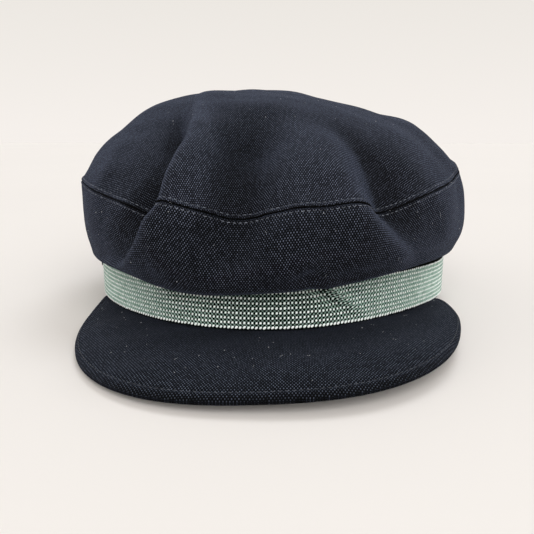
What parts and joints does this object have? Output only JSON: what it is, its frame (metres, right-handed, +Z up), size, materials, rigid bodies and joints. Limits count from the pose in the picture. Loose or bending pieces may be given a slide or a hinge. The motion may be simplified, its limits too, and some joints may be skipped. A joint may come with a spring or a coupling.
{
  "type": "soft peaked cap",
  "caption": "Soft dark canvas cap with a full folded crown over a dotted ribbon band and a stitched cloth peak, open below for the head.",
  "frame": {"origin": "on the floor, under the middle of the cap's outline", "axes": "+Z up, the peak points to -Y, +X is to the right in the picture"},
  "size_m": [0.1874, 0.2574, 0.1055],
  "materials": {
    "canvas": "matte woven cotton, dark blue-grey",
    "dotted_ribbon": "woven ribbon, pale raised dots on a dark green-black ground",
    "tape": "matte dark tape"
  },
  "bodies": {
    "root": {"crown_side": "canvas", "crown_top": "canvas", "ribbon": "dotted_ribbon", "peak_upper": "canvas", "peak_under": "canvas", "side_tab": "tape"}
  },
  "joints": []
}
